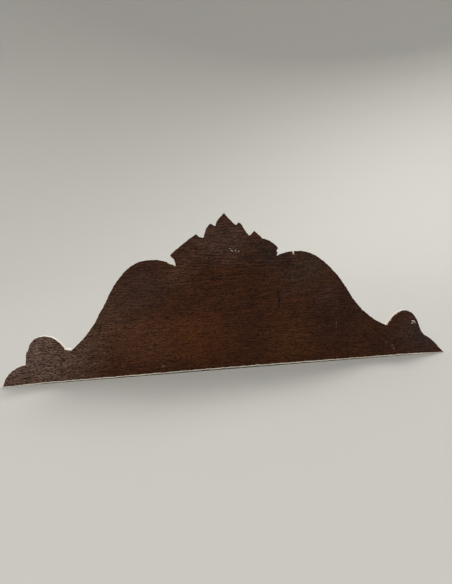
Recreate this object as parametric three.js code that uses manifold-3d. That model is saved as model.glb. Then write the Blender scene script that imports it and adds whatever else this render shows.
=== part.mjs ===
// A carved wooden headpiece: one board with a sawn outline, made to crown a cabinet, mirror
// or door frame. The back is left flat. The front carries an upright fan of leaves between
// two S-scrolls, with a spray of leaves under each scroll and a plain band along the foot.
// Millimetres, +Z up. X runs along the board, the front faces -Y and the back faces +Y.
// The origin is at the middle of the straight underside.

import * as THREE from 'three';
import { mergeVertices } from 'three/addons/utils/BufferGeometryUtils.js';
import Module from 'manifold-3d';

// Board
const length = 455;
const height = 158;
const groundThickness = 6;
const footHeight = 8;
const footThickness = 8;
const curveSteps = 7;

// Saw kerf in the top of one shoulder
const kerfMouth = 2.8;
const kerfFloor = 1.4;
const kerfDepth = 4.2;

// Carving, proud of the ground
const fanRelief = 9;
const fanLowRelief = 7.5;
const scrollRelief = 8;
const scrollEndRelief = 4.5;
const sprayRelief = 5;
const endLeafRelief = 4;
const bossRelief = 11;
const tipRelief = 1.5;
const tipWidth = 1.2;
const rootDepth = 1.5;

// Scroll bands and their volutes
const bandWidth = 9;
const bandEndWidth = 5;
const bandMargin = 2.5;
const shoulderVoluteRadius = 29.5;
const shoulderVoluteTurns = 1.3;
const endVoluteRadius = 16;
const endVoluteTurns = 1.2;
const voluteGap = 3;
const shoulderEyeRadius = 8;
const endEyeRadius = 3.6;

// Leaves
const fanStemWidth = 5;
const fanMiddleWidth = 17;
const sprayStemWidth = 5;
const sprayLeafStemWidth = 3;
const sprayLeafWidth = 13;
const endLeafStemWidth = 5;
const endLeafWidth = 11;
const bossRadius = 12;

const backY = footThickness / 2;
const groundY = backY - groundThickness;

const wasm = await Module();
wasm.setup();

// Places on the free-form face are shares of the half length, outward, and of the height.
function place([outward, upward]) {
  return new THREE.Vector2(outward * length / 2, upward * height);
}

function mirrored(points, side) {
  return points.map((point) => new THREE.Vector2(point.x * side, point.y));
}

// Outline, from the tip of an end leaf inward to the peak.
// A heading of 0 runs inward along the board and 90 runs straight up. A stretch
// without headings is straight.
const plusShoulder = [0.330, 0.738];
const minusShoulder = [0.310, 0.740];
const plusSide = [
  { to: [0.894, 0.132], leave: 76, arrive: 10 },
  { to: [0.890, 0.186], leave: 96, arrive: 88 },
  { to: [0.813, 0.304], leave: 74, arrive: 0 },
  { to: [0.722, 0.211], leave: 0, arrive: -62 },
  { to: [0.698, 0.211] },
  { to: [0.532, 0.500], leave: 36, arrive: 58 },
  { to: plusShoulder, leave: 58, arrive: 0 },
  { to: [0.226, 0.698], leave: 0, arrive: -28 },
  { to: [0.245, 0.761], leave: 82, arrive: 118 },
  { to: [0.126, 0.883], leave: 38, arrive: 32 },
  { to: [0.098, 0.857], leave: -58, arrive: 5 },
  { to: [0.060, 0.941], leave: 68, arrive: 28 },
  { to: [0.041, 0.925], leave: -42, arrive: 0 },
  { to: [0, 1], leave: 76, arrive: 44 },
];
const minusSide = [
  { to: [0.900, 0.133], leave: 46, arrive: 26 },
  { to: [0.884, 0.175], leave: 66, arrive: 74 },
  { to: [0.806, 0.306], leave: 72, arrive: 0 },
  { to: [0.722, 0.215], leave: 0, arrive: -44 },
  { to: [0.540, 0.470], leave: 20, arrive: 55 },
  { to: minusShoulder, leave: 55, arrive: 0 },
  { to: [0.222, 0.719], leave: 0, arrive: -32 },
  { to: [0.226, 0.776], leave: 84, arrive: 120 },
  { to: [0.157, 0.834], leave: 42, arrive: 22 },
  { to: [0.124, 0.877], leave: 34, arrive: 52 },
  { to: [0.095, 0.859], leave: -50, arrive: 0 },
  { to: [0.058, 0.938], leave: 62, arrive: 50 },
  { to: [0.043, 0.922], leave: -50, arrive: 0 },
  { to: [0, 1], leave: 46, arrive: 52 },
];
const handle = 0.38;

function headed(point, degrees, distance) {
  const angle = THREE.MathUtils.degToRad(degrees);
  const step = new THREE.Vector2(-Math.cos(angle), Math.sin(angle));
  return point.clone().addScaledVector(step, distance);
}

function sidePoints(stretches) {
  const path = new THREE.Path();
  let from = place([1, 0]);
  path.moveTo(from.x, from.y);
  for (const { to, leave, arrive } of stretches) {
    const end = place(to);
    if (leave === undefined) {
      path.lineTo(end.x, end.y);
    } else {
      const reach = from.distanceTo(end) * handle;
      const first = headed(from, leave, reach);
      const second = headed(end, arrive, -reach);
      path.bezierCurveTo(first.x, first.y, second.x, second.y, end.x, end.y);
    }
    from = end;
  }
  return path.getPoints(curveSteps);
}

function outlineShape() {
  const minus = mirrored(sidePoints(minusSide), -1).reverse();
  return new THREE.Shape([...sidePoints(plusSide), ...minus.slice(1)]);
}

// A shape drawn on the face, X to the right and Z up, given thickness from one depth to another.
function slab(shape, fromY, toY) {
  const geometry = new THREE.ExtrudeGeometry(shape, { depth: fromY - toY, bevelEnabled: false });
  geometry.rotateX(Math.PI / 2);
  geometry.translate(0, fromY, 0);
  return solid(geometry);
}

function solid(geometry) {
  geometry.deleteAttribute('normal');
  geometry.deleteAttribute('uv');
  const welded = mergeVertices(geometry, 1e-4);
  return new wasm.Manifold(new wasm.Mesh({
    numProp: 3,
    vertProperties: new Float32Array(welded.attributes.position.array),
    triVerts: new Uint32Array(welded.index.array),
  }));
}

// Section of every carved rib: across it, in half widths, and up from the ground, in reliefs.
// Its first two corners are rooted in the ground.
const ribRoots = [-1, 1];
const ribSurface = [[0.6, 0.7], [0, 1], [-0.6, 0.7]];

function rib(points, widthAt, reliefAt) {
  const positions = [];
  const last = points.length - 1;
  points.forEach((point, i) => {
    const before = points[Math.max(i - 1, 0)];
    const after = points[Math.min(i + 1, last)];
    const along = after.clone().sub(before).normalize();
    const half = widthAt(i / last) / 2;
    const relief = reliefAt(i / last);
    const section = [
      ...ribRoots.map((across) => [across, -rootDepth]),
      ...ribSurface.map(([across, up]) => [across, up * relief]),
    ];
    for (const [across, rise] of section) {
      const x = point.x - along.y * across * half;
      const z = point.y + along.x * across * half;
      positions.push(x, groundY - rise, z);
    }
  });
  const ring = ribRoots.length + ribSurface.length;
  const faces = [];
  for (let i = 0; i < last; i += 1) {
    for (let k = 0; k < ring; k += 1) {
      const a = i * ring + k;
      const b = i * ring + (k + 1) % ring;
      faces.push(a, b, b + ring, a, b + ring, a + ring);
    }
  }
  for (let k = 1; k < ring - 1; k += 1) {
    const end = last * ring;
    faces.push(0, k + 1, k, end, end + k, end + k + 1);
  }
  const geometry = new THREE.BufferGeometry();
  geometry.setAttribute('position', new THREE.Float32BufferAttribute(positions, 3));
  geometry.setIndex(faces);
  return solid(geometry);
}

// A leaf swells from its stem to its widest place and closes to a tip.
function leaf([from, bend, to], side, { stem, width, widest, relief, steps }) {
  const curve = new THREE.QuadraticBezierCurve(place(from), place(bend), place(to));
  const swell = (t) => (t < widest
    ? THREE.MathUtils.lerp(stem, width, THREE.MathUtils.smootherstep(t, 0, widest))
    : THREE.MathUtils.lerp(tipWidth, width, Math.sqrt(1 - ((t - widest) / (1 - widest)) ** 2)));
  const rise = (t) => THREE.MathUtils.lerp(relief, tipRelief, t ** 3);
  return rib(mirrored(curve.getPoints(steps), side), swell, rise);
}

// A round button on the ground, such as a volute's eye.
const domeRings = 4;
const domeSides = 16;

function dome(centre, side, radius, relief) {
  const profile = [new THREE.Vector2(0, -rootDepth), new THREE.Vector2(radius, -rootDepth)];
  for (let i = 0; i <= domeRings; i += 1) {
    const angle = i / domeRings * Math.PI / 2;
    profile.push(new THREE.Vector2(radius * Math.cos(angle), relief * Math.sin(angle)));
  }
  const geometry = new THREE.LatheGeometry(profile, domeSides);
  geometry.rotateX(Math.PI);
  geometry.translate(centre.x * side, groundY, centre.y);
  return solid(geometry);
}

// Points of a volute that winds inward from its outer turn. Angles are in degrees from the
// outward side, and grow towards the top.
const voluteStep = 20;

function volute(centre, outerRadius, pitch, startAngle, turns) {
  const count = Math.round(turns * 360 / voluteStep);
  return Array.from({ length: count + 1 }, (_, i) => {
    const radius = outerRadius - pitch * i * voluteStep / 360;
    const angle = THREE.MathUtils.degToRad(startAngle + i * voluteStep);
    const arm = new THREE.Vector2(Math.cos(angle), Math.sin(angle));
    return centre.clone().addScaledVector(arm, radius);
  });
}

// Each S-scroll runs from the eye of the shoulder volute, over the shoulder, down the slope
// just inside the outline, and round under the end lobe into the eye of the end volute.
const lobeMiddle = 0.811;
const leavingAngle = 42;
const enteringAngle = -105;
const slopeSteps = 12;

function sScroll(side) {
  const shoulder = place(plusShoulder);
  shoulder.y -= bandMargin + bandWidth / 2 + shoulderVoluteRadius;
  const end = place([lobeMiddle, 0]);
  end.y += footHeight + bandMargin + bandEndWidth / 2 + endVoluteRadius;

  const bandPitch = bandWidth + voluteGap;
  const endPitch = bandEndWidth + voluteGap;
  const inner = volute(shoulder, shoulderVoluteRadius, bandPitch, leavingAngle, shoulderVoluteTurns);
  const outer = volute(end, endVoluteRadius, endPitch, enteringAngle, endVoluteTurns);
  const reach = inner[0].distanceTo(outer[0]) * handle;
  const slope = new THREE.CubicBezierCurve(
    inner[0],
    headed(inner[0], -90 - leavingAngle, reach),
    headed(outer[0], -90 - enteringAngle, reach),
    outer[0],
  );
  const between = slope.getPoints(slopeSteps).slice(1, -1);
  const points = [...inner.reverse(), ...between, ...outer];
  const swell = (t) => Math.sin(Math.PI * t ** 0.75);
  const widthAt = (t) => THREE.MathUtils.lerp(bandEndWidth, bandWidth, swell(t));
  const reliefAt = (t) => THREE.MathUtils.lerp(scrollEndRelief, scrollRelief, swell(t));
  return rib(mirrored(points, side), widthAt, reliefAt)
    .add(dome(shoulder, side, shoulderEyeRadius, scrollRelief))
    .add(dome(end, side, endEyeRadius, scrollEndRelief));
}

// Fan: a middle leaf and four pairs, which end in the tips and along the flanks of the outline.
const fanRoot = [0, 0.14];
const fanRootSpread = 0.012;
const fanMiddle = { bend: [0, 0.5], tip: [0, 0.985] };
const fanPairs = [
  { tip: [0.060, 0.935], bend: [0.045, 0.55], width: 11 },
  { tip: [0.125, 0.872], bend: [0.078, 0.52], width: 13 },
  { tip: [0.184, 0.815], bend: [0.105, 0.50], width: 14 },
  { tip: [0.238, 0.760], bend: [0.125, 0.46], width: 16 },
];

function fan() {
  const shape = { stem: fanStemWidth, widest: 0.72, steps: 10 };
  const middle = { ...shape, width: fanMiddleWidth, relief: fanRelief };
  let leaves = leaf([fanRoot, fanMiddle.bend, fanMiddle.tip], 1, middle);
  fanPairs.forEach(({ tip, bend, width }, i) => {
    const root = [(i + 1) * fanRootSpread, fanRoot[1]];
    const relief = i % 2 === 0 ? fanLowRelief : fanRelief;
    for (const side of [1, -1]) {
      leaves = leaves.add(leaf([root, bend, tip], side, { ...shape, width, relief }));
    }
  });
  return leaves.add(dome(place(fanRoot), 1, bossRadius, bossRelief));
}

// Spray: a stem along the foot band, with leaves that rise from it and lean outward.
const sprayStemEnds = [0.05, 0.74];
const sprayRoots = [0.11, 0.525];
const sprayTips = [
  [0.215, 0.250], [0.325, 0.262], [0.490, 0.410], [0.560, 0.310], [0.630, 0.215], [0.700, 0.130],
];
const sprayStemShape = { stem: sprayStemWidth, width: sprayStemWidth, widest: 0.3, steps: 8 };
const sprayLeafShape = { stem: sprayLeafStemWidth, width: sprayLeafWidth, widest: 0.6, steps: 7 };
const sprayBend = [0.45, 0.95];
const spraySag = 0.8;

function spray(side) {
  const relief = sprayRelief;
  const up = (footHeight + sprayStemWidth) / height;
  const [from, to] = sprayStemEnds;
  const stem = [[from, up], [(from + to) / 2, up * spraySag], [to, up]];
  return sprayTips.reduce((joined, tip, i) => {
    const outward = THREE.MathUtils.lerp(...sprayRoots, i / (sprayTips.length - 1));
    const bend = [THREE.MathUtils.lerp(outward, tip[0], sprayBend[0]), tip[1] * sprayBend[1]];
    return joined.add(leaf([[outward, up], bend, tip], side, { ...sprayLeafShape, relief }));
  }, leaf(stem, side, { ...sprayStemShape, relief }));
}

const endLeafLine = [[0.86, 0.065], [0.93, 0.085], [0.988, 0.022]];
const endLeafShape = { stem: endLeafStemWidth, width: endLeafWidth, widest: 0.35, steps: 6 };

function endLeaf(side) {
  return leaf(endLeafLine, side, { ...endLeafShape, relief: endLeafRelief });
}

// A saw slipped into the shoulder and left a kerf through the whole thickness.
const kerfOutward = 0.297;
const clearOfBoard = 1;

function kerf() {
  const mouth = place([kerfOutward, minusShoulder[1]]);
  const x = -mouth.x;
  const floor = mouth.y - kerfDepth;
  const top = mouth.y + clearOfBoard;
  const sawn = new THREE.Shape([
    new THREE.Vector2(x - kerfFloor / 2, floor),
    new THREE.Vector2(x + kerfFloor / 2, floor),
    new THREE.Vector2(x + kerfMouth / 2, top),
    new THREE.Vector2(x - kerfMouth / 2, top),
  ]);
  return slab(sawn, backY + clearOfBoard, groundY - bossRelief - clearOfBoard);
}

function footBand() {
  const half = length / 2;
  const corners = [[-half, 0], [half, 0], [half, footHeight], [-half, footHeight]];
  const band = new THREE.Shape(corners.map(([x, z]) => new THREE.Vector2(x, z)));
  return slab(band, backY, backY - footThickness);
}

function headpiece() {
  const outline = outlineShape();
  const ground = slab(outline, backY, groundY);
  const trim = slab(outline, backY, groundY - bossRelief - clearOfBoard);
  let carving = footBand().add(fan());
  for (const side of [1, -1]) {
    carving = carving.add(sScroll(side)).add(spray(side)).add(endLeaf(side));
  }
  return ground.add(carving.intersect(trim)).subtract(kerf());
}

const carved = headpiece().getMesh();
const surface = new THREE.BufferGeometry();
surface.setAttribute('position', new THREE.BufferAttribute(carved.vertProperties, 3));
surface.setIndex(new THREE.BufferAttribute(carved.triVerts, 1));
surface.computeVertexNormals();

const stainedWood = new THREE.MeshStandardMaterial({ color: 0x3c281e, roughness: 0.55, metalness: 0 });
const board = new THREE.Mesh(surface, stainedWood);
board.name = 'headpiece';

const part = new THREE.Group();
part.add(board);

export default part;
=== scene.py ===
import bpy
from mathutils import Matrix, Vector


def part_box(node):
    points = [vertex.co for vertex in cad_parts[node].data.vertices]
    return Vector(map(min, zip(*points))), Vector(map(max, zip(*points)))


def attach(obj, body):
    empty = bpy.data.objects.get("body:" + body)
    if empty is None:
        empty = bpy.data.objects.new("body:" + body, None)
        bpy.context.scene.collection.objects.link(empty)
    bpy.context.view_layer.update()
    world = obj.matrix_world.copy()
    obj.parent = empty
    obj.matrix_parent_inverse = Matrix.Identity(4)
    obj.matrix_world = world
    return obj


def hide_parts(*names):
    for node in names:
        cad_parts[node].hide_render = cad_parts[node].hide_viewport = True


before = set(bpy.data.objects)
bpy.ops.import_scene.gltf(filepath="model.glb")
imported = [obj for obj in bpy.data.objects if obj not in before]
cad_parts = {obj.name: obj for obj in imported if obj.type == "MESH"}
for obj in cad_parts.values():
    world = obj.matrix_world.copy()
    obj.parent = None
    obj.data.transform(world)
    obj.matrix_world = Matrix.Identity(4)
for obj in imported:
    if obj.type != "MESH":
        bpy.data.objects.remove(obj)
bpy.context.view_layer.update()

import math

import bpy
import numpy as np
from mathutils import Quaternion, Vector
from mathutils.geometry import delaunay_2d_cdt

# Sawn board
# The headpiece is one board of close-grained wood, thin beside its carving and thicker along
# its foot. It was sawn by hand to a leafy peak, two round shoulders and two lobed ends, with
# its grain running along its length. All sizes here are in millimetres.
MM = 0.001
lowest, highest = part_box("headpiece")
length = (highest.x - lowest.x) / MM
height = (highest.z - lowest.z) / MM
back_y = highest.y / MM
front_limit = lowest.y / MM
ground_thickness = 6
foot_height = 8
foot_thickness = 8
ground_y = back_y - ground_thickness
chance = np.random.default_rng(41)

# Shares of the half length, outward, and of the height. Headings in degrees: 0 runs inward
# along the board and 90 straight up. A stretch without headings is straight.
plus_shoulder = (0.330, 0.738)
minus_shoulder = (0.310, 0.740)
plus_side = [
    ((0.894, 0.132), 76, 10),
    ((0.890, 0.186), 96, 88),
    ((0.813, 0.304), 74, 0),
    ((0.722, 0.211), 0, -62),
    ((0.698, 0.211), None, None),
    ((0.532, 0.500), 36, 58),
    (plus_shoulder, 58, 0),
    ((0.2255, 0.696), 0, -28),
    ((0.2435, 0.760), 92, 118),
    ((0.126, 0.881), 38, 32),
    ((0.106, 0.858), -52, -20),
    ((0.094, 0.855), -5, 10),
    ((0.060, 0.941), 76, 30),
    ((0.041, 0.925), -42, 0),
    ((0, 1), 76, 44),
]
minus_side = [
    ((0.900, 0.133), 46, 26),
    ((0.884, 0.175), 66, 74),
    ((0.806, 0.306), 72, 0),
    ((0.722, 0.215), 0, -44),
    ((0.540, 0.470), 26, 60),
    ((0.496, 0.569), 60, 56),
    (minus_shoulder, 48, 0),
    ((0.220, 0.713), 0, -30),
    ((0.2262, 0.738), None, None),
    ((0.2210, 0.746), None, None),
    ((0.2300, 0.763), None, None),
    ((0.2105, 0.796), 66, 40),
    ((0.1752, 0.826), 38, 26),
    ((0.1617, 0.831), 22, 10),
    ((0.1265, 0.881), 50, 42),
    ((0.1035, 0.855), -46, -22),
    ((0.0790, 0.905), 48, 58),
    ((0.0612, 0.938), 64, 12),
    ((0.0465, 0.923), -28, -15),
    ((0, 1), 46, 52),
]
handle = 0.38
outline_step = 1.0
curve_detail = 80
longest_mitre = 0.5


def place(outward, upward):
    return np.array([outward * length / 2, upward * height])


def headed(degrees):
    angle = math.radians(degrees)
    return np.array([-math.cos(angle), math.sin(angle)])


def bezier(controls):
    t = np.linspace(0, 1, curve_detail)[:, None]
    points = [np.asarray(control, float) + 0 * t for control in controls]
    while len(points) > 1:
        points = [a + (b - a) * t for a, b in zip(points, points[1:])]
    return points[0]


def evenly(points, step):
    gaps = np.linalg.norm(np.diff(points, axis=0), axis=1)
    along = np.concatenate([[0], np.cumsum(gaps)])
    at = np.linspace(0, along[-1], max(round(along[-1] / step), 1) + 1)
    return np.column_stack([np.interp(at, along, points[:, axis]) for axis in (0, 1)])


def curve_between(start, leave, end, arrive):
    reach = handle * np.linalg.norm(end - start)
    return bezier([start, start + reach * headed(leave), end - reach * headed(arrive), end])


def side_outline(stretches, side):
    start = place(1, 0)
    points = [start[None]]
    for to, leave, arrive in stretches:
        end = place(*to)
        if leave is None:
            stretch = np.array([start, end])
        else:
            stretch = curve_between(start, leave, end, arrive)
        points.append(evenly(stretch, outline_step)[1:])
        start = end
    return np.concatenate(points) * [side, 1]


# A saw slipped into one shoulder and left a kerf.
kerf_x = -0.297 * length / 2
kerf_mouth = 1.6
kerf_floor = 1.3
kerf_depth = 3.1
kerf_lean = 0.4


def with_kerf(points):
    near = np.abs(points[:, 0] - kerf_x) < kerf_mouth / 2
    near &= points[:, 1] > height / 2
    first, last = np.flatnonzero(near)[[0, -1]]
    top = points[first : last + 1, 1].max()
    corners = [
        (kerf_x + kerf_mouth / 2, top),
        (kerf_x - kerf_lean + kerf_floor / 2, top - kerf_depth),
        (kerf_x - kerf_lean - kerf_floor / 2, top - kerf_depth),
        (kerf_x - kerf_mouth / 2, top),
    ]
    cut = [evenly(np.array(pair), kerf_floor / 2)[:-1] for pair in zip(corners, corners[1:])]
    return np.concatenate([points[:first], *cut, [corners[-1]], points[last + 1 :]])


def wander(at, lengths):
    """Uneven run of a hand tool along a line: waves of several lengths, about -1 to 1."""
    waves = [np.sin(2 * np.pi * at / size + chance.uniform(0, 2 * np.pi)) for size in lengths]
    return sum(waves) / math.sqrt(len(waves))


def edge_normals(points):
    """Outward direction at each corner of a closed outline, made long enough for a mitre."""
    along = np.roll(points, -1, axis=0) - points
    out = np.column_stack([along[:, 1], -along[:, 0]])
    out /= np.linalg.norm(out, axis=1)[:, None]
    both = out + np.roll(out, 1, axis=0)
    turn = 1 + (out * np.roll(out, 1, axis=0)).sum(1)
    return both / np.maximum(turn, longest_mitre)[:, None]


saw_wander = 0.16
foot_wander = 0.12
slip_waves = (3.1, 5.3, 8.9, 17, 31)
foot = evenly(np.array([place(-1, 0), place(1, 0)]), outline_step)
minus_half = with_kerf(side_outline(minus_side, -1)[::-1])
outline = np.concatenate([foot[:-1], side_outline(plus_side, 1)[:-1], minus_half[:-1]])
on_foot = outline[:, 1] < 0.01
run = np.concatenate([[0], np.cumsum(np.linalg.norm(np.diff(outline, axis=0), axis=1))])
slip = np.where(on_foot, foot_wander, saw_wander) * wander(run, slip_waves)
outline = outline + edge_normals(outline) * slip[:, None]
outline[:, 0] = outline[:, 0].clip(-length / 2, length / 2)
outline[:, 1] = outline[:, 1].clip(0, height)
edge_out = edge_normals(outline)


def inside_outline(points):
    found = np.zeros(len(points), bool)
    for (ax, az), (bx, bz) in zip(outline, np.roll(outline, -1, axis=0)):
        if az == bz:
            continue
        spans = (az > points[:, 1]) != (bz > points[:, 1])
        crossing = ax + (points[:, 1] - az) * (bx - ax) / (bz - az)
        found ^= spans & (points[:, 0] < crossing)
    return found


# Carved ribs
# Everything carved on the front is left standing from the same board: ribs that swell and
# taper along a line, cut down beside them to a ground 6 mm thick. A rib's shape across is
# its section, worked with gouges and a veining tool.
ribs = []
rib_step = 0.9
tip_relief = 1.5
tip_half = 0.6


def carve(line, half_at, relief_at, section, rows):
    even = evenly(np.asarray(line), rib_step)
    ribs.append((even, half_at, relief_at, section, rows))


def nearest_on(line, points):
    """Distance to a line from each point, and how far along the line it is, from 0 to 1."""
    step = np.diff(line, axis=0)
    span = (step**2).sum(1)
    away = np.empty(len(points))
    along = np.empty(len(points))
    for first in range(0, len(points), 2000):
        part = points[first : first + 2000]
        reach = part[:, None] - line[None, :-1]
        share = ((reach * step).sum(2) / span).clip(0, 1)
        gap = ((reach - share[..., None] * step) ** 2).sum(2)
        best = gap.argmin(1)
        rows = np.arange(len(part))
        away[first : first + 2000] = np.sqrt(gap[rows, best])
        along[first : first + 2000] = (best + share[rows, best]) / len(step)
    return away, along


def rib_height(rib, points):
    """How proud of the ground a rib stands at each point, and nothing where it doesn't reach."""
    line, half_at, relief_at, section, _ = rib
    widest = half_at(np.linspace(0, 1, 50)).max() + 0.5
    near = ((points > line.min(0) - widest) & (points < line.max(0) + widest)).all(1)
    rise = np.zeros(len(points))
    away, along = nearest_on(line, points[near])
    half = half_at(along)
    across = away / half
    shaped = section(away, across, along, relief_at(along))
    rise[near] = np.where(across < 1, shaped, 0)
    return rise


def between(a, b, share):
    return a + (b - a) * share


# Leaves
# Each leaf swells from its stem to its widest place and closes to a tip. Its edge is cut in
# small lobes, with a vein down its middle and finer veins running out to the notches.
lobe_length = 7.5
lobe_depth = 0.15
lobe_roundness = 0.7
vein_width = 0.75
vein_depth = 0.85
side_vein_width = 0.1
side_vein_depth = 0.45
side_vein_lean = 0.75
leaf_edge = 0.36
leaf_fullness = 0.6


def smoothed(x):
    x = np.clip(x, 0, 1)
    return x**3 * (x * (6 * x - 15) + 10)


def leaf(points, side, stem, width, widest, relief, lobed=True):
    line = bezier([place(*point) * [side, 1] for point in points])
    lobes = max(round(np.linalg.norm(np.diff(line, axis=0), axis=1).sum() / lobe_length), 1)

    def half_at(t):
        swelling = between(stem, width, smoothed(t / widest)) / 2
        closing = np.sqrt(np.clip(1 - ((t - widest) / (1 - widest)) ** 2, 0, 1))
        half = np.where(t < widest, swelling, between(tip_half, width / 2, closing))
        if lobed:
            half = half * (1 - lobe_depth * (1 - np.abs(np.sin(np.pi * lobes * t)) ** lobe_roundness))
        return half

    def relief_at(t):
        return between(relief, tip_relief, t**3)

    def section(away, across, along, proud):
        body = proud * between(leaf_edge, 1, np.clip(1 - across**2, 0, 1) ** leaf_fullness)
        taper = np.clip(proud / relief, 0, 1)
        vein = vein_depth * taper * np.exp(-((away / vein_width) ** 2))
        if not lobed:
            return body - vein
        turn = (along * lobes - side_vein_lean * across) % 1
        beside = np.minimum(turn, 1 - turn) / side_vein_width
        reach = np.clip(across * 4, 0, 1) * np.clip((1 - across) * 6, 0, 1)
        return body - vein - side_vein_depth * taper * reach * np.exp(-(beside**2))

    carve(line, half_at, relief_at, section, (0, 0.45, 0.8))


# Fan
# Nine leaves rise from a round boss at the foot and spread to the tips of the peak. Every
# other leaf is set a little lower than its neighbours, and the high ones stand prouder
# than the scrolls.
fan_relief = 9
fan_low_relief = 7.5
fan_stem = 5
fan_middle_width = 17
fan_widest = 0.72
fan_root = (0, 0.14)
fan_root_spread = 0.012
fan_pairs = [
    ((0.060, 0.935), (0.045, 0.55), 11),
    ((0.125, 0.872), (0.078, 0.52), 13),
    ((0.184, 0.815), (0.105, 0.50), 14),
    ((0.238, 0.760), (0.125, 0.46), 16),
]
leaf([fan_root, (0, 0.5), (0, 0.985)], 1, fan_stem, fan_middle_width, fan_widest, fan_relief)
for order, (tip, bend, width) in enumerate(fan_pairs):
    root = ((order + 1) * fan_root_spread, fan_root[1])
    relief = fan_relief if order % 2 else fan_low_relief
    for side in (1, -1):
        leaf([root, bend, tip], side, fan_stem, width, fan_widest, relief)

# S-scrolls
# A band rolls out of a volute under each shoulder, runs down the slope just inside the
# outline and rolls into a smaller volute in the end lobe. Its edges are raised fillets
# with a shallow cove between them.
scroll_relief = 8
scroll_end_relief = 4.5
band_width = 9
band_end_width = 5
band_margin = 2.5
volute_gap = 3
shoulder_volute_radius = 29.5
shoulder_volute_turns = 1.3
end_volute_radius = 16
end_volute_turns = 1.2
lobe_middle = 0.811
leaving_angle = 42
entering_angle = -105
cove_depth = 0.34
fillet_share = 0.7
fillet_rounding = 0.25


def volute(centre, outer_radius, pitch, start_angle, turns):
    turned = np.linspace(0, turns, 120)
    angle = np.radians(start_angle) + 2 * np.pi * turned
    arm = np.column_stack([np.cos(angle), np.sin(angle)])
    return centre + arm * (outer_radius - pitch * turned)[:, None]


def swell(t):
    return np.sin(np.pi * np.clip(t, 0, 1) ** 0.75)


def band_half(t):
    return between(band_end_width, band_width, swell(t)) / 2


def band_relief(t):
    return between(scroll_end_relief, scroll_relief, swell(t))


def band_section(away, across, along, proud):
    cove = np.cos(np.pi / 2 * np.clip(across / fillet_share, 0, 1)) ** 2
    rounded = np.clip((across - fillet_share) / (1 - fillet_share), 0, 1) ** 3
    return proud * (1 - cove_depth * cove - fillet_rounding * rounded)


shoulder_eye = place(*plus_shoulder)
shoulder_eye[1] -= band_margin + band_width / 2 + shoulder_volute_radius
end_eye = place(lobe_middle, 0)
end_eye[1] += foot_height + band_margin + band_end_width / 2 + end_volute_radius
inner = volute(
    shoulder_eye, shoulder_volute_radius, band_width + volute_gap,
    leaving_angle, shoulder_volute_turns,
)
outer = volute(
    end_eye, end_volute_radius, band_end_width + volute_gap,
    entering_angle, end_volute_turns,
)
slope = curve_between(inner[0], -90 - leaving_angle, outer[0], 90 - entering_angle)
scroll = np.concatenate([inner[::-1], slope[1:-1], outer])
for side in (1, -1):
    carve(scroll * [side, 1], band_half, band_relief, band_section, (0, 0.35, 0.7, 0.88))

# Sprays and end leaves
# A thin stem runs along the foot band on each side, with six leaves that rise from it and
# lean outward under the scroll, and one more leaf that fills each pointed end.
spray_relief = 5
spray_stem = 5
spray_leaf_stem = 3
spray_leaf_width = 13
spray_ends = (0.05, 0.74)
spray_roots = (0.11, 0.525)
spray_tips = [
    (0.215, 0.250), (0.325, 0.262), (0.490, 0.410),
    (0.560, 0.310), (0.630, 0.215), (0.700, 0.130),
]
spray_bend = (0.45, 0.95)
spray_sag = 0.8
spray_widest = 0.6
end_leaf_line = [(0.86, 0.065), (0.93, 0.085), (0.988, 0.022)]
end_leaf_relief = 4
end_leaf_stem = 5
end_leaf_width = 11
end_leaf_widest = 0.35
stem_up = (foot_height + spray_stem) / height
stem_middle = (sum(spray_ends) / 2, stem_up * spray_sag)
stem_line = [(spray_ends[0], stem_up), stem_middle, (spray_ends[1], stem_up)]
for side in (1, -1):
    leaf(stem_line, side, spray_stem, spray_stem, 0.3, spray_relief, lobed=False)
    for order, tip in enumerate(spray_tips):
        root_at = between(*spray_roots, order / (len(spray_tips) - 1))
        bend = (between(root_at, tip[0], spray_bend[0]), tip[1] * spray_bend[1])
        leaf(
            [(root_at, stem_up), bend, tip], side,
            spray_leaf_stem, spray_leaf_width, spray_widest, spray_relief,
        )
    leaf(end_leaf_line, side, end_leaf_stem, end_leaf_width, end_leaf_widest, end_leaf_relief)

# Foot band
# A plain band stands 2 mm proud along the foot, with its upper arris rounded over and one
# line scratched along it.
foot_relief = foot_thickness - ground_thickness
foot_round = 0.6
foot_flat = 0.88
foot_line_up = 0.55
foot_line_width = 0.07
foot_line_depth = 0.35


def foot_half(t):
    return np.full(np.shape(t), float(foot_height))


def flat_relief(t):
    return np.full(np.shape(t), float(foot_relief))


def foot_section(away, across, along, proud):
    rounding = foot_round * np.clip((across - foot_flat) / (1 - foot_flat), 0, 1) ** 2
    scratch = foot_line_depth * np.exp(-(((across - foot_line_up) / foot_line_width) ** 2))
    return proud - rounding - scratch


foot_ends = np.array([place(-1, 0), place(1, 0)]) * [1.1, 1]
carve(foot_ends, foot_half, flat_relief, foot_section, (foot_line_up, foot_flat))

# Boss and eyes
# Round buttons: a boss of eight petals where the fan's leaves meet, and a domed eye in the
# middle of each volute with a small sinking at its top.
boss_relief = 11
boss_radius = 12
petals = 8
petal_depth = 0.9
petal_ring = 0.3
petal_ring_width = 0.07
shoulder_eye_radius = 8
end_eye_radius = 3.6
eye_sinking = 0.8
eye_sinking_width = 0.28
doming = 0.8
button_rows = (0.3, 0.6, 0.85)


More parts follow.
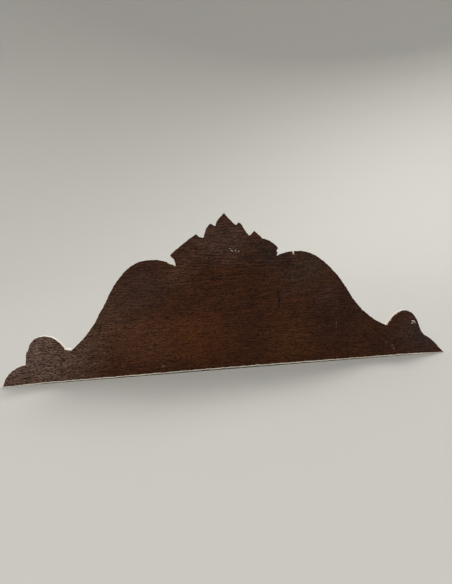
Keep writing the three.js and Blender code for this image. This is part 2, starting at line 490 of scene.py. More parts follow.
def button(centre, radius, proud, petal_count):
    def rise(points):
        reach = points - centre
        away = np.linalg.norm(reach, axis=1) / radius
        body = proud * np.sqrt(np.clip(1 - doming * away**2, 0, 1))
        if petal_count:
            around = np.abs(np.sin(petal_count / 2 * np.arctan2(reach[:, 1], reach[:, 0])))
            body -= petal_depth * np.clip(away * 3 - 0.9, 0, 1) * (1 - around**0.5)
            body -= petal_depth * np.exp(-(((away - petal_ring) / petal_ring_width) ** 2))
        else:
            body -= eye_sinking * np.exp(-((away / eye_sinking_width) ** 2))
        return np.where(away < 1, body, 0)

    return centre, radius, rise


buttons = [button(place(*fan_root), boss_radius, boss_relief, petals)]
for side in (1, -1):
    flip = np.array([side, 1])
    buttons.append(button(shoulder_eye * flip, shoulder_eye_radius, scroll_relief, 0))
    buttons.append(button(end_eye * flip, end_eye_radius, scroll_end_relief, 0))

# Carved front
# The ribs and buttons stand over a ground left a little uneven by the gouge, with a fine line
# cut where two of them meet. Beside the slopes and the end lobes the carving stops about
# 2 mm short of the edge, and its arris all round is rubbed.
join_depth = 0.7
join_reach = 0.45
gouge_depth = 0.14
fill_step = 1.15
wall_brow = 0.04
wall_foot = 0.28
edge_clearance = 0.5
fill_clearance = 0.45
covered = 0.4
front_arris = 0.35
border_width = 2.4
border_from = 78
border_fade = 12
gouge_waves = chance.uniform((0.25, 0.25, 0), (0.9, 0.9, 2 * np.pi), (6, 3))


def rises(points):
    """How far each rib and each button stands proud at each point, one row for each."""
    carved = [rib_height(rib, points) for rib in ribs]
    return np.array(carved + [rise(points) for _, _, rise in buttons])


def front_rise(points):
    ordered = np.sort(rises(points), axis=0)
    top, under = ordered[-1], ordered[-2]
    cut = join_depth * np.exp(-(top - under) / join_reach) * (under > 1)
    gouged = sum(np.sin(points @ [a, b] + c) for a, b, c in gouge_waves) / len(gouge_waves)
    return np.maximum(top - cut, 0) + gouge_depth * (gouged - 1)


def rib_rows(rib):
    """Lines of points that follow a rib: its crest, its shoulders, and the foot of its wall."""
    line, half_at, _, _, shares = rib
    along = np.linspace(0, 1, len(line))
    step = np.gradient(line, axis=0)
    out = np.column_stack([-step[:, 1], step[:, 0]]) / np.linalg.norm(step, axis=1)[:, None]
    half = half_at(along)
    offsets = [half * share for share in shares] + [half - wall_brow, half + wall_foot]
    for offset in offsets:
        for side in (1, -1) if offset.any() else (1,):
            yield line + out * (side * offset)[:, None]


def rows_round(centre, radius):
    reaches = [radius * share for share in button_rows]
    for reach in reaches + [radius - wall_brow, radius + wall_foot]:
        turns = np.linspace(0, 2 * np.pi, max(round(2 * np.pi * reach / rib_step), 8) + 1)
        yield centre + reach * np.column_stack([np.cos(turns), np.sin(turns)])


def cells(points, size):
    return set(map(tuple, np.floor(points / size).astype(int)))


def clear_of(points, kept, size):
    """Which points have nothing of kept in their own cell or in the cells around it."""
    taken = cells(kept, size)
    around = [(i, j) for i in (-1, 0, 1) for j in (-1, 0, 1)]
    own = np.floor(points / size).astype(int)
    return np.array([all((a + i, b + j) not in taken for i, j in around) for a, b in own])


def honeycomb(step):
    across = np.arange(-length / 2, length / 2, step)
    up = np.arange(0, height, step * math.sqrt(3) / 2)
    x, z = np.meshgrid(across, up)
    x = x + (np.arange(len(up)) % 2 * step / 2)[:, None]
    return np.column_stack([x.ravel(), z.ravel()])


def face_triangles(ring, rows, fill):
    """Points and triangles of one face of the board, inside a ring and following the rows."""
    points = [ring]
    edges = []
    count = len(ring)
    for row in rows:
        inside = inside_outline(row)
        inside[inside] = clear_of(row[inside], outline, edge_clearance)
        names = np.where(inside, count + np.cumsum(inside) - 1, -1)
        pairs = np.column_stack([names[:-1], names[1:]])
        edges += pairs[(pairs >= 0).all(1)].tolist()
        points.append(row[inside])
        count += inside.sum()
    loose = honeycomb(fill)
    loose = loose[inside_outline(loose)]
    loose = loose[clear_of(loose, np.concatenate(points), fill * fill_clearance)]
    points.append(loose)
    spots = [Vector(point) for point in np.concatenate(points)]
    around = [list(range(len(ring)))]
    found = delaunay_2d_cdt(spots, edges, around, 1, 1e-4)
    where = np.array([tuple(spot) for spot in found[0]])
    triangles = np.array(found[2])
    ring_names = {}
    for name, sources in enumerate(found[3]):
        for source in sources:
            ring_names[source] = name
    return where, triangles, np.array([ring_names[i] for i in range(len(ring))])


def topmost(rows, order):
    """The stretches of one carving's own lines that no other carving covers."""
    for row in rows:
        proud = rises(row)
        others = np.delete(proud, order, axis=0).max(0)
        shown = (others < covered) | (proud[order] > others - 0.05)
        cuts = np.flatnonzero(np.diff(shown.astype(int))) + 1
        starts = np.concatenate([[0], cuts])
        for piece, first in zip(np.split(row, cuts), starts):
            if shown[first] and len(piece) > 1:
                yield piece


front_rows = []
for order, rib in enumerate(ribs):
    front_rows += topmost(rib_rows(rib), order)
for order, (centre, radius, _) in enumerate(buttons):
    front_rows += topmost(rows_round(centre, radius), len(ribs) + order)
front_ring = outline - edge_out * front_arris
front_where, front_faces, front_names = face_triangles(front_ring, front_rows, fill_step)
from_edge, _ = nearest_on(outline[~on_foot], front_where)
bordered = smoothed((np.abs(front_where[:, 0]) - border_from) / border_fade)
left_standing = 1 - bordered * (1 - smoothed((from_edge - front_arris) / border_width))
front_proud = front_rise(front_where)
front_proud *= np.where(front_proud > 0, left_standing, 1)
front_depth = np.maximum(ground_y - front_proud, front_limit)

# Flat back
# The back was planed by hand, which left it flat with shallow waves, and it isn't carved or
# painted. It has a small knot, a short drying crack, and flecks of cream paint that a brush
# dropped.
back_skin = 0.1
plane_wave = 0.06
fleck_raise = 0.08
fleck_rim = 0.12
back_fill = 2.2
crack_line = [
    (-50.9, 79.7), (-50.3, 72), (-52.2, 69.5), (-51, 64.1), (-50.6, 60.8), (-47.4, 57.9),
]
crack_half = 0.4
crack_step = 0.8
crack_depth = 0.4
knot = (76.6, 31.3)
knot_radius = 1.5
knot_depth = 0.25
# Where each fleck lies, its half width, how many times longer it is, and how it is turned.
flecks = [
    (-3.9, 123.2, 0.22, 2.2, 50), (-5.4, 121.2, 0.24, 2.6, -30), (-9.4, 121.0, 0.22, 2.6, 25),
    (-12.4, 119.9, 0.2, 2.2, -40), (-6.6, 120.4, 0.18, 1.6, 0),
    (-193.0, 36.6, 0.38, 4.6, 4), (-194.6, 35.4, 0.34, 3.4, 52), (-192.2, 34.4, 0.3, 3.4, 20),
]
fleck_lobes = chance.uniform(0, 2 * np.pi, (len(flecks), 3))


def fleck_edge(turn, lobes):
    return 1 + 0.24 * np.sin(2 * turn + lobes[0]) + 0.16 * np.sin(3 * turn + lobes[1]) \
        + 0.1 * np.sin(5 * turn + lobes[2])


def fleck_axes(radius, stretch, degrees):
    angle = math.radians(degrees)
    along = np.array([math.cos(angle), math.sin(angle)])
    return along * radius * stretch, np.array([-along[1], along[0]]) * radius


def fleck_loop(fleck, lobes, grown):
    x, z, radius, stretch, degrees = fleck
    long, short = fleck_axes(radius, stretch, degrees)
    turn = np.linspace(0, 2 * np.pi, 13)
    reach = fleck_edge(turn, lobes) * (1 + grown / radius)
    rounds = np.outer(np.cos(turn) * reach, long) + np.outer(np.sin(turn) * reach, short)
    return rounds + [x, z]


def fleck_cover(points):
    """How much paint lies on the back at each point: 1 on a fleck, down to 0 past its rim."""
    cover = np.zeros(len(points))
    for fleck, lobes in zip(flecks, fleck_lobes):
        x, z, radius, stretch, degrees = fleck
        long, short = fleck_axes(radius, stretch, degrees)
        reach = points - [x, z]
        u = reach @ long / (long @ long)
        v = reach @ short / (short @ short)
        edge = fleck_edge(np.arctan2(v, u), lobes)
        past = (np.hypot(u, v) / edge - 1) * radius / fleck_rim
        cover = np.maximum(cover, (1 - past).clip(0, 1))
    return cover


crack = evenly(np.array(crack_line, float), crack_step)


def back_sinking(points):
    """How far the back lies below the board's full thickness."""
    x, z = points.T
    waves = np.sin(x / 19 + 1.3 * np.sin(z / 31)) + np.sin(z / 7.5 + 0.8 * np.sin(x / 43))
    sunk = back_skin + plane_wave * (1 + waves / 2)
    away, along = nearest_on(crack, points)
    sunk += crack_depth * np.clip(1 - away / crack_half, 0, 1) * np.sin(np.pi * along)
    from_knot = np.linalg.norm(points - knot, axis=1) / knot_radius
    sunk += knot_depth * np.clip(1 - from_knot, 0, 1)
    return sunk - fleck_raise * fleck_cover(points)


def circle(centre, radius, count):
    turn = np.linspace(0, 2 * np.pi, count + 1)
    return np.array(centre) + radius * np.column_stack([np.cos(turn), np.sin(turn)])


back_rows = []
for fleck, lobes in zip(flecks, fleck_lobes):
    back_rows += [fleck_loop(fleck, lobes, grown) for grown in (0, fleck_rim)]
back_rows += [crack + [shift, 0] for shift in (-crack_half, 0, crack_half)]
back_rows += [circle(knot, knot_radius * share, 14) for share in (0.25, 0.6, 1)]

# Worn arrises
# Handling has rounded the board's arrises. The lower arris of the back is more worn than
# the others, most of all in the middle, and keeps a broken line of cream paint. The arris
# of one slope keeps some paint too, and so do four small spots round the edge.
back_arris = 0.28
thinnest_arris = 0.15
painted_arris = 0.4
painted_from = 90
painted_fade = 60
painted_to = 158
painted_end = 12
other_side = 0.25
other_fade = 40
wear_unevenness = 0.07
wear_waves = (4.3, 7.1, 12.7, 26)
tip_arris = 0.4
tip_fade = 40
thinnest_tip = 0.25
foot_arris = 1.2
foot_unevenness = 0.2
foot_wear = 0.7
foot_paint_width = 0.65
foot_wear_reach = 120
wear_here = wander(run, wear_waves)
foot_fade = ((length / 2 - np.abs(outline[:, 0])) / tip_fade).clip(thinnest_tip, 1)
foot_worn = foot_arris + foot_wear * np.exp(-((outline[:, 0] / foot_wear_reach) ** 2))
foot_worn = foot_fade * (foot_worn + foot_unevenness * wear_here)
painted_side = smoothed((outline[:, 0] - painted_from) / painted_fade)
painted_side *= 1 - smoothed((outline[:, 0] - painted_to) / painted_end)
painted_side += other_side * smoothed((-outline[:, 0] - painted_from) / other_fade)
side_worn = back_arris + painted_arris * painted_side + wear_unevenness * wear_here
side_worn = np.minimum(side_worn, thinnest_arris + tip_arris * outline[:, 1])
arris = np.where(on_foot, foot_worn, side_worn).clip(thinnest_arris)
painted_spots = [((199.4, 36.8), 2.2), ((155, 33.5), 3), ((53.5, 112), 5), ((197, 22), 1.5)]
spotted = np.zeros(len(outline))
for spot, reach in painted_spots:
    spotted = np.maximum(spotted, np.linalg.norm(outline - spot, axis=1) < reach)
margin = 0.9
back_ring = outline - edge_out * (arris + margin)[:, None]
back_where, back_faces, back_names = face_triangles(back_ring, back_rows, back_fill)
back_depth = back_y - back_sinking(back_where)

# Sawn edge
# The edge runs square through the board, 6 mm thick or more where the carving reaches it,
# with the faint ridges that a fretsaw leaves across it. It is painted cream, less well
# towards the stained back.
edge_rings = 4
saw_ridge = 0.07
ridge_waves = (1.9, 2.7, 4.6)
arris_turn = 0.3
arris_fall = 0.85
foot_first_fall = 0.08
side_first_fall = 0.25
front_first_fall = 0.28
back_level = back_depth[back_names]
rounded = arris * arris_turn
rounded = np.where(on_foot, np.maximum(arris - foot_paint_width, rounded), rounded)
front_level = front_depth[front_names]
edge_back = back_level - arris * arris_fall
edge_front = front_level + front_arris * arris_fall
first_fall = np.where(on_foot, foot_first_fall, side_first_fall) * arris
rings = [
    (outline - edge_out * arris[:, None], back_level),
    (outline - edge_out * rounded[:, None], back_level - first_fall),
    (outline, edge_back),
]
for share in np.arange(1, edge_rings + 1) / (edge_rings + 1):
    ridge = saw_ridge * (1 + wander(run + 9 * share, ridge_waves)) / 2
    ridge = np.where(on_foot, 0, np.abs(ridge))
    rings.append((outline - edge_out * ridge[:, None], between(edge_back, edge_front, share)))
rings += [
    (outline, edge_front),
    (
        outline - edge_out * front_arris * arris_turn,
        front_level + front_arris * front_first_fall,
    ),
]

# Board put together
# The back, the front and the rings of the edge are one closed surface, as the board is one
# piece of wood. Each point notes how much paint covers it, from none at 0 to all at 1, and
# whether it lies in a hollow or on a ridge.
foot_cover = (0.95, 0.45, 0)
arris_cover = (0.15, 0.25, 0.45)
side_cover = (0.6, 0.55, 0.3)
thin_edge_cover = (0.3, 0.6, 0.7, 0.7)
full_edge_cover = (0.6, 0.78, 0.78, 0.78)
hollow_reach = 8
sharp_angle = 50
ring_points = np.concatenate([np.column_stack([at[:, 0], y, at[:, 1]]) for at, y in rings])
points = np.concatenate([
    np.column_stack([back_where[:, 0], back_depth, back_where[:, 1]]),
    np.column_stack([front_where[:, 0], front_depth, front_where[:, 1]]),
    ring_points,
])
points[:, 2] = points[:, 2].clip(0)
front_first = len(back_where)
ring_first = front_first + len(front_where)
count = len(outline)
loops = [back_names]
loops += [ring_first + order * count + np.arange(count) for order in range(len(rings))]
loops.append(front_first + front_names)


def anticlockwise(where, faces):
    a, b, c = (where[faces[:, corner]] for corner in range(3))
    area = (b[:, 0] - a[:, 0]) * (c[:, 1] - a[:, 1]) - (b[:, 1] - a[:, 1]) * (c[:, 0] - a[:, 0])
    return np.where(area[:, None] > 0, faces, faces[:, ::-1])


back_side = anticlockwise(back_where, back_faces)[:, ::-1]
front_side = anticlockwise(front_where, front_faces) + front_first
faces = back_side.tolist() + front_side.tolist()
for behind, before in zip(loops, loops[1:]):
    quads = np.column_stack([behind, np.roll(behind, -1), np.roll(before, -1), before])
    faces += quads.tolist()

ends = np.concatenate([front_side[:, [0, 1]], front_side[:, [1, 2]], front_side[:, [2, 0]]])
ends = ends - front_first
level = front_depth.copy()
for _ in range(hollow_reach):
    total = np.bincount(ends[:, 0], level[ends[:, 1]], len(level))
    total += np.bincount(ends[:, 1], level[ends[:, 0]], len(level))
    touching = np.bincount(ends.ravel(), minlength=len(level))
    level = total / touching
standing = np.zeros(len(points))
standing[front_first:ring_first] = level - front_depth

paint = np.ones(len(points))
paint[:front_first] = fleck_cover(back_where)
paint[back_names] = 0
for loop, on_the_foot, elsewhere, more in zip(loops[1:4], foot_cover, arris_cover, side_cover):
    beside = np.maximum(elsewhere + more * painted_side, spotted)
    paint[loop] = np.where(on_foot, on_the_foot, beside)
for loop, thin, full in zip(loops[4:8], thin_edge_cover, full_edge_cover):
    paint[loop] = np.where(outline[:, 0] < 0, thin, full)

board = bpy.data.meshes.new("carved_headpiece")
board.from_pydata((points * MM).tolist(), [], faces)
for name, values in (("paint", paint), ("standing", standing)):
    layer = board.attributes.new(name, "FLOAT", "POINT")
    layer.data.foreach_set("value", values.astype(np.float32))
board.shade_smooth()
board.set_sharp_from_angle(angle=math.radians(sharp_angle))
headpiece = bpy.data.objects.new("carved_headpiece", board)
bpy.context.scene.collection.objects.link(headpiece)

# Stained wood
# The wood is close grained, under an old dark brown stain that went on unevenly. Fine dark
# pores, paler streaks and broken dark lines of its year rings run along it in waves. The
# sizes are in millimetres, along the board, through it and up it.
slow_wave_size = (34, 30, 16)
slow_wave_height = 7.0
quick_wave_size = (9, 9, 7)
quick_wave_height = 2.4
streak_size = (11, 6, 0.7)
streak_contrast = 2.2
streak_base = -0.1
band_size = (60, 20, 6)
band_contrast = 0.3
band_base = 0.85
pore_size = (2.6, 3, 0.5)
pore_edge = (0.48, 0.62)
pore_darkness = 1.05
pore_balance = 0.42
year_ring_turn = 2.2
ring_wander_size = (40, 20, 8)
ring_wander = 9.0
ring_break_size = (8, 6, 2.5)
ring_break_edge = (0.4, 0.56)
ring_edge = (0, 0.95)
ring_darkness = 0.62
ring_balance = 0.13


def node(tree, kind, feeds=(), **settings):
    """A shader node with its settings, each socket fed by another node or set to a value."""
    made = tree.nodes.new("ShaderNode" + kind)
    for name, value in settings.items():
        setattr(made, name, value)
    for socket, feed in dict(feeds).items():
        if isinstance(feed, bpy.types.NodeSocket):
            tree.links.new(feed, made.inputs[socket])
        else:
            made.inputs[socket].default_value = feed
    return made


def effect(name, taken, given):
    """A new node group, with what it takes in and what it gives out."""
    group = bpy.data.node_groups.new(name, "ShaderNodeTree")
    for titles, way in ((taken, "INPUT"), (given, "OUTPUT")):
        for title, kind in titles.items():
            group.interface.new_socket(name=title, in_out=way, socket_type="NodeSocket" + kind)
    takes = group.nodes.new("NodeGroupInput").outputs
    gives = group.nodes.new("NodeGroupOutput").inputs
    return group, takes, gives


def reckon(tree, operation, *values):
    return node(tree, "Math", enumerate(values), operation=operation).outputs[0]


def rising(tree, value, low, high, bottom=0.0, top=1.0):
    feeds = {"Value": value, "From Min": low, "From Max": high, "To Min": bottom, "To Max": top}
    return node(tree, "MapRange", feeds, interpolation_type="SMOOTHSTEP").outputs[0]


def mixed(tree, share, below, above, way="MIX"):
    feeds = {0: share, 6: below, 7: above}
    return node(tree, "Mix", feeds, data_type="RGBA", blend_type=way).outputs[2]


def stretched_noise(tree, at, sizes, detail=3.0, roughness=0.5):
    """Noise whose patches are about that many millimetres long on each axis."""
    shares = [1 / size for size in sizes]
    scaled = node(tree, "VectorMath", {0: at, 1: shares}, operation="MULTIPLY")
    feeds = {"Vector": scaled.outputs[0], "Scale": 1.0, "Detail": detail, "Roughness": roughness}
    return node(tree, "TexNoise", feeds).outputs["Fac"]


def as_seen(red, green, blue):
    """A colour given as it looks, 0 to 255, as the shader takes it."""
    shares = [value / 255 for value in (red, green, blue)]
    return [x / 12.92 if x < 0.04045 else ((x + 0.055) / 1.055) ** 2.4 for x in shares] + [1.0]


def give(tree, gives, **feeds):
    for title, feed in feeds.items():
        tree.links.new(feed, gives[title])


wood, takes, gives = effect(
    "stained_grain",
    {"Place": "Vector", "Waviness": "Float", "Depth": "Float"},
    {"Shade": "Float", "Pores": "Float", "Height": "Float"},
)
slow = stretched_noise(wood, takes["Place"], slow_wave_size, 2.0)
quick_wave = stretched_noise(wood, takes["Place"], quick_wave_size, 1.0)
drift = reckon(wood, "MULTIPLY_ADD", slow, slow_wave_height, -slow_wave_height / 2)
flutter = reckon(wood, "MULTIPLY_ADD", quick_wave, quick_wave_height, -quick_wave_height / 2)
lift = reckon(wood, "MULTIPLY", reckon(wood, "ADD", drift, flutter), takes["Waviness"])
raised = node(wood, "CombineXYZ", {"X": 0.0, "Y": 0.0, "Z": lift})
flow = node(wood, "VectorMath", {0: takes["Place"], 1: raised.outputs[0]}).outputs[0]
streaks = stretched_noise(wood, flow, streak_size, 2.0)
bands = stretched_noise(wood, flow, band_size, 2.0)
pores = rising(wood, stretched_noise(wood, flow, pore_size, 1.0), *pore_edge)
ring_height = node(wood, "SeparateXYZ", {0: flow}).outputs["Z"]
ring_shift = stretched_noise(wood, flow, ring_wander_size, 1.0)
ring_shift = reckon(wood, "MULTIPLY", ring_shift, ring_wander)
ring_turn = reckon(wood, "MULTIPLY_ADD", ring_height, year_ring_turn, ring_shift)
year_rings = rising(wood, reckon(wood, "SINE", ring_turn), *ring_edge)
unbroken = stretched_noise(wood, flow, ring_break_size, 1.0)
unbroken = rising(wood, unbroken, *ring_break_edge)
lines = reckon(wood, "MULTIPLY", year_rings, unbroken)
lines = reckon(wood, "MULTIPLY", lines, takes["Waviness"])
shade = reckon(wood, "MULTIPLY_ADD", streaks, streak_contrast, streak_base)
band_shade = reckon(wood, "MULTIPLY_ADD", bands, band_contrast, band_base)
shade = reckon(wood, "MULTIPLY", shade, band_shade)
pore_shade = reckon(wood, "MULTIPLY_ADD", pores, -pore_darkness, pore_balance)
pore_shade = reckon(wood, "MULTIPLY_ADD", pore_shade, takes["Depth"], 1.0)
shade = reckon(wood, "MULTIPLY", shade, pore_shade)
line_shade = reckon(wood, "MULTIPLY_ADD", lines, -ring_darkness, 1 + ring_balance)
shade = reckon(wood, "MULTIPLY", shade, line_shade)
height_of = reckon(wood, "MULTIPLY_ADD", pores, -1.0, streaks)
give(wood, gives, Shade=shade, Pores=pores, Height=height_of)

# Old cream paint
# The front and the edges carry one thick coat of cream paint. It has chipped off the
# arrises, rubbed thin on the crests and on the most proud carving, crazed finely along the
# grain, and gathered brown dirt in the hollows.
fine_chip_size = (1.5, 1.5, 1.5)
broad_chip_size = (11, 11, 8)
chip_depth = 0.6
chip_edge = (0.47, 0.53)
crest_edge = (0.4, 1.2)
crest_wear = 0.3
proud_wear = 0.27
proud_from = 3
crazes_per_mm = (0.16, 0.3, 0.42)
craze_width = 0.035
craze_strength = 0.35
grime_size = (16, 16, 9)
grime_edge = (0.48, 0.74)
grime_strength = 0.5
hollow_edge = (0.05, 0.9)
hollow_strength = 0.82
cream = as_seen(226, 219, 203)
grimy_cream = as_seen(190, 176, 148)
craze_colour = as_seen(140, 122, 96)
hollow_dirt = as_seen(98, 76, 52)
coat, takes, gives = effect(
    "broken_paint",
    {"Place": "Vector", "Cover": "Float", "Standing": "Float"},
    {"Mask": "Float", "Colour": "Color", "Height": "Float"},
)
fine_chips = stretched_noise(coat, takes["Place"], fine_chip_size, 4.0, 0.6)
broad_chips = stretched_noise(coat, takes["Place"], broad_chip_size, 3.0, 0.55)
crest = rising(coat, takes["Standing"], *crest_edge)
forward = node(coat, "SeparateXYZ", {0: takes["Place"]}).outputs["Y"]
proud = rising(coat, forward, front_limit, ground_y - proud_from, 1.0, 0.0)
hollow = reckon(coat, "MULTIPLY", takes["Standing"], -1.0)
hollow = rising(coat, hollow, *hollow_edge)
held = reckon(coat, "MULTIPLY_ADD", crest, -crest_wear, takes["Cover"])
held = reckon(coat, "MULTIPLY_ADD", proud, -proud_wear, held)
for chips in (fine_chips, broad_chips):
    uneven = reckon(coat, "MULTIPLY_ADD", chips, chip_depth, -chip_depth / 2)
    held = reckon(coat, "ADD", held, uneven)
mask = rising(coat, held, *chip_edge)
craze_at = node(coat, "VectorMath", {0: takes["Place"], 1: crazes_per_mm}, operation="MULTIPLY")
feeds = {"Vector": craze_at.outputs[0], "Scale": 1.0}
crazing = node(coat, "TexVoronoi", feeds, feature="DISTANCE_TO_EDGE")
crazed = rising(coat, crazing.outputs["Distance"], 0.0, craze_width, 1.0, 0.0)
grime = stretched_noise(coat, takes["Place"], grime_size, 4.0, 0.6)
grime = rising(coat, grime, *grime_edge, 0.0, grime_strength)
tone = mixed(coat, grime, cream, grimy_cream)
craze_share = reckon(coat, "MULTIPLY", crazed, craze_strength)
tone = mixed(coat, craze_share, tone, craze_colour)
hollow_share = reckon(coat, "MULTIPLY", hollow, hollow_strength)
tone = mixed(coat, hollow_share, tone, hollow_dirt)
height_of = reckon(coat, "MULTIPLY_ADD", crazed, -0.5, mask)
give(coat, gives, Mask=mask, Colour=tone, Height=height_of)


pore_depth = 0.12
pore_bump = 0.35
coat_depth = 0.15
coat_bump = 0.6
waxed = 0.46
dry = 0.62
gloss = 0.1


def finish_of(name, tone_of, figure_of):
    """A material of stained wood under what is left of the paint."""
    made = bpy.data.materials.new(name)
    made.use_nodes = True
    tree = made.node_tree
    tree.nodes.clear()
    at = node(tree, "TexCoord").outputs["Object"]
    at = node(tree, "VectorMath", {0: at, "Scale": 1 / MM}, operation="SCALE").outputs[0]
    wavy, depth = figure_of(tree, at)
    grain = node(tree, "Group", {"Place": at, "Waviness": wavy, "Depth": depth}, node_tree=wood)
    cover = node(tree, "Attribute", attribute_name="paint").outputs["Fac"]
    stands = node(tree, "Attribute", attribute_name="standing").outputs["Fac"]
    layer = node(tree, "Group", {"Place": at, "Cover": cover, "Standing": stands}, node_tree=coat)
    bare = mixed(tree, 1.0, tone_of(tree, at), grain.outputs["Shade"], "MULTIPLY")
    colour = mixed(tree, layer.outputs["Mask"], bare, layer.outputs["Colour"])
    feeds = {"Value": grain.outputs["Pores"], "To Min": waxed, "To Max": dry}
    rough = node(tree, "MapRange", feeds).outputs[0]
    feeds = {0: layer.outputs["Mask"], 2: rough, 3: dry}
    rough = node(tree, "Mix", feeds, data_type="FLOAT").outputs[0]
    feeds = {"Height": grain.outputs["Height"], "Strength": pore_bump, "Distance": pore_depth * MM}
    grain_bump = node(tree, "Bump", feeds).outputs[0]
    feeds = {"Height": layer.outputs["Height"], "Strength": coat_bump, "Distance": coat_depth * MM}
    bump = node(tree, "Bump", feeds | {"Normal": grain_bump}).outputs[0]
    feeds = {"Base Color": colour, "Roughness": rough, "Normal": bump}
    shader = node(tree, "BsdfPrincipled", feeds | {"Specular IOR Level": gloss})
    node(tree, "OutputMaterial", {"Surface": shader.outputs[0]})
    return made


# Back finish
# The stain went on unevenly in broad soft patches, and some of them are painted light. One end is
# paler and greyer, a painted sheen from the light on that side, and the pores show more there.
# The top is greyer with painted sheen too. Low in the middle it is redder and warmer, and towards
# the other end darker and more purple, partly painted shade away from that light.
torn_size = (24, 24, 12)
through = 50
blot, takes, gives = effect(
    "soft_patch",
    {"Place": "Vector", "Centre": "Vector", "Reach": "Vector", "Ragged": "Float"},
    {"Mask": "Float"},
)
away = node(blot, "VectorMath", {0: takes["Place"], 1: takes["Centre"]}, operation="SUBTRACT")
share = node(blot, "VectorMath", {0: away.outputs[0], 1: takes["Reach"]}, operation="DIVIDE")
distance = node(blot, "VectorMath", {0: share.outputs[0]}, operation="LENGTH").outputs["Value"]
torn = stretched_noise(blot, takes["Place"], torn_size, 3.0, 0.6)
torn = reckon(blot, "MULTIPLY", reckon(blot, "SUBTRACT", torn, 0.5), takes["Ragged"])
mask = rising(blot, reckon(blot, "ADD", distance, torn), 0.1, 1.0, 1.0, 0.0)
give(blot, gives, Mask=mask)

stain = as_seen(55, 29, 14)
# The middle of each patch, its reach, how ragged it is, its colour and how strong it is.
stain_and_sheen_patches = [
    ((128, 62), (66, 52), 0.5, as_seen(66, 45, 34), 0.8),
    ((85, 35), (72, 38), 0.6, as_seen(72, 43, 26), 0.75),
    # Painted sheen: the paler, greyer end, where the light falls from its side.
    ((205, 30), (95, 75), 0.5, as_seen(85, 67, 58), 0.9),
    ((34, 35), (46, 36), 0.7, as_seen(67, 36, 12), 0.8),
    ((84, 92), (40, 34), 0.5, as_seen(51, 34, 27), 0.8),
    ((50, 103), (26, 26), 0.5, as_seen(68, 46, 34), 0.6),
    # Painted sheen: greyer along the top of the peak.
    ((3, 130), (58, 34), 0.5, as_seen(64, 45, 37), 0.9),
    ((-45, 116), (28, 24), 0.6, as_seen(44, 31, 27), 0.8),
    ((-24, 65), (18, 95), 0.5, as_seen(45, 24, 10), 0.6),
    ((-62, 24), (36, 44), 0.7, as_seen(62, 36, 14), 0.7),
    ((-80, 98), (40, 34), 0.7, as_seen(52, 37, 28), 0.85),
    # These three darken the far end towards purple: uneven stain, partly painted shade away from the
    # light.
    ((-115, 50), (50, 50), 0.6, as_seen(41, 23, 14), 0.8),
    ((-162, 18), (38, 34), 0.6, as_seen(46, 26, 17), 0.7),
    ((-203, 25), (46, 46), 0.5, as_seen(50, 36, 31), 0.9),
]
marks = [
    (knot, (3.4, 2.8), 0.3, as_seen(20, 12, 9), 1.0),
    ((-110.3, 39), (0.8, 8), 0.2, as_seen(100, 76, 60), 0.5),
    ((137.6, 17.4), (0.8, 1.8), 0.2, as_seen(124, 104, 90), 0.7),
    ((-102, 18), (1.0, 7), 0.2, as_seen(30, 18, 14), 0.6),
    ((-61, 108), (9, 14), 0.6, as_seen(36, 24, 22), 0.7),
    ((-50.7, 75), (1.7, 8), 0.3, as_seen(24, 14, 12), 0.9),
    ((-51.6, 68), (2.1, 6), 0.3, as_seen(20, 12, 10), 1.0),
    ((-50.4, 61.5), (1.7, 5), 0.3, as_seen(26, 15, 12), 0.9),
    ((-47.8, 57.9), (2.4, 1.8), 0.3, as_seen(26, 15, 12), 0.9),
    ((-61, 76.5), (3, 1.6), 0.4, as_seen(26, 16, 14), 0.8),
    ((-56, 75), (6, 11), 0.5, as_seen(46, 32, 28), 0.6),
    ((-104, 70), (24, 22), 0.7, as_seen(62, 41, 35), 0.4),
    ((-163.6, 15), (1.9, 1.5), 0.6, as_seen(104, 82, 70), 0.6),
    ((-170, 11.6), (1.2, 2.6), 0.6, as_seen(112, 90, 78), 0.6),
    ((-171.8, 8.6), (1.2, 2.6), 0.6, as_seen(112, 90, 78), 0.6),
    ((-208.4, 14.8), (1.1, 1.1), 0.5, as_seen(96, 84, 74), 0.5),
    ((70, 9), (3.2, 2), 0.9, as_seen(112, 94, 78), 0.5),
]
# Where the grain runs most in waves, and where the pores show more.
wavy_middle = ((10, 110), (90, 75), 0.3)
wavy_slope = ((-105, 60), (38, 42), 0.4)
open_end = ((200, 30), (110, 80), 0.5)


def soft_patch(tree, at, middle, reach, ragged):
    centre = (middle[0], back_y, middle[1])
    size = (reach[0], through, reach[1])
    feeds = {"Place": at, "Centre": centre, "Reach": size, "Ragged": ragged}
    return node(tree, "Group", feeds, node_tree=blot).outputs[0]


def back_tone(tree, at):
    tone = stain
    for middle, reach, ragged, colour, strength in stain_and_sheen_patches + marks:
        patch = soft_patch(tree, at, middle, reach, ragged)
        tone = mixed(tree, reckon(tree, "MULTIPLY", patch, strength), tone, colour)
    return tone


def back_figure(tree, at):
    """How wavy the grain of the back is, and how deep its pores look."""
    wavy = reckon(tree, "MULTIPLY_ADD", soft_patch(tree, at, *wavy_middle), 0.8, 0.4)
    wavy = reckon(tree, "MULTIPLY_ADD", soft_patch(tree, at, *wavy_slope), 0.7, wavy)
    depth = reckon(tree, "MULTIPLY_ADD", soft_patch(tree, at, *open_end), 0.7, 1.0)
    return wavy, depth


def plain_tone(tree, at):
    return stain


def plain_figure(tree, at):
    return 0.5, 1.0


board.materials.append(finish_of("stained_back", back_tone, back_figure))
board.materials.append(finish_of("painted_front", plain_tone, plain_figure))
stained_loops = 3
ring_faces = len(back_side) + len(front_side)
slots = np.zeros(len(faces), np.int32)
slots[len(back_side) : ring_faces] = 1
slots[ring_faces + stained_loops * count :] = 1
board.polygons.foreach_set("material_index", slots)
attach(headpiece, "root")
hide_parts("headpiece")

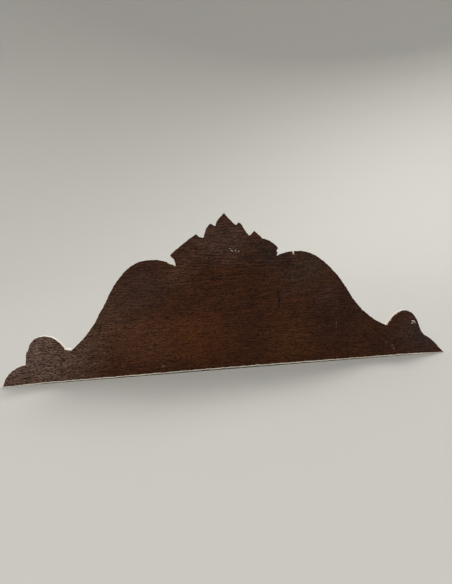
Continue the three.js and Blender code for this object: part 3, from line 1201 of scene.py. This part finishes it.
# Table and backdrop
# A plain pale table top that sweeps up into a plain pale wall all round. They are there to
# be stood on and seen against, and aren't part of the headpiece.
table_reach = 1.0
sweep_radius = 2.4
wall_top = 3.2
sides = 96
bends = 12
table_colour = as_seen(188, 185, 178)
table_roughness = 0.9
table_gloss = 0.1
turns = np.linspace(0, 2 * np.pi, sides + 1)[:-1]
bend_steps = np.linspace(0, np.pi / 2, bends + 1)
profile = [(0.0, 0.0), (table_reach, 0.0)]
for bend in bend_steps[1:]:
    out = table_reach + sweep_radius * math.sin(bend)
    profile.append((out, sweep_radius * (1 - math.cos(bend))))
profile.append((table_reach + sweep_radius, wall_top))
sweep_points = [(r * math.cos(a), r * math.sin(a), z) for r, z in profile[1:] for a in turns]
sweep_faces = [tuple(range(len(turns)))]
for tier in range(len(profile) - 2):
    for a in range(len(turns)):
        b = (a + 1) % len(turns)
        low, up = tier * len(turns), (tier + 1) * len(turns)
        sweep_faces.append((low + a, up + a, up + b, low + b))
sweep = bpy.data.meshes.new("table_and_backdrop")
sweep.from_pydata(sweep_points, [], sweep_faces)
sweep.shade_smooth()
sweep.polygons[0].use_smooth = False
table = bpy.data.objects.new("table_and_backdrop", sweep)
bpy.context.scene.collection.objects.link(table)
pale = bpy.data.materials.new("pale_table")
pale.use_nodes = True
surface = pale.node_tree.nodes["Principled BSDF"]
surface.inputs["Base Color"].default_value = table_colour
surface.inputs["Roughness"].default_value = table_roughness
surface.inputs["Specular IOR Level"].default_value = table_gloss
sweep.materials.append(pale)


# Light
# Large soft lamps stand before and behind the board, so that its back and its carving are
# both lit from above and from one side, in a room with even pale light.
def lamp(name, stand, power, size, aimed_at=(0, 0, 0.07)):
    light = bpy.data.lights.new(name, "AREA")
    light.energy = power
    light.size = size
    made = bpy.data.objects.new(name, light)
    made.location = stand
    aim = Vector(aimed_at) - Vector(stand)
    made.rotation_mode = "QUATERNION"
    made.rotation_quaternion = aim.to_track_quat("-Z", "Y")
    made.visible_camera = False
    bpy.context.scene.collection.objects.link(made)


lamp("back_key", (1.3, 1.6, 1.6), 27, 1.2)
lamp("back_fill", (-1.6, 1.2, 1.7), 6, 1.4)
lamp("front_key", (-1.1, -1.3, 2.1), 35, 1.2, (-0.4, -0.5, 0))
lamp("front_fill", (1.6, -1.2, 2.1), 7, 1.6, (0.6, -0.4, 0))
world = bpy.data.worlds.new("room")
world.use_nodes = True
room = world.node_tree.nodes["Background"]
room.inputs["Color"].default_value = (0.93, 0.96, 1.0, 1.0)
room.inputs["Strength"].default_value = 0.7
bpy.context.scene.world = world
bpy.context.scene.view_settings.view_transform = "Standard"

# Camera
# It looks at the back from a little to one side and above, rolled slightly, as the
# photograph does.
camera_place = (0.0357, 0.4230, 0.1380)
camera_heading = (-0.0786, -0.9876, -0.1363)
camera_roll = -3.12
lens_length = 26.14
film = bpy.data.cameras.new("camera")
film.lens = lens_length
film.sensor_width = 36
film.clip_start = 0.01
camera = bpy.data.objects.new("camera", film)
camera.location = camera_place
aimed = Vector(camera_heading).to_track_quat("-Z", "Y")
camera.rotation_mode = "QUATERNION"
camera.rotation_quaternion = aimed @ Quaternion((0, 0, 1), math.radians(camera_roll))
bpy.context.scene.collection.objects.link(camera)
bpy.context.scene.camera = camera
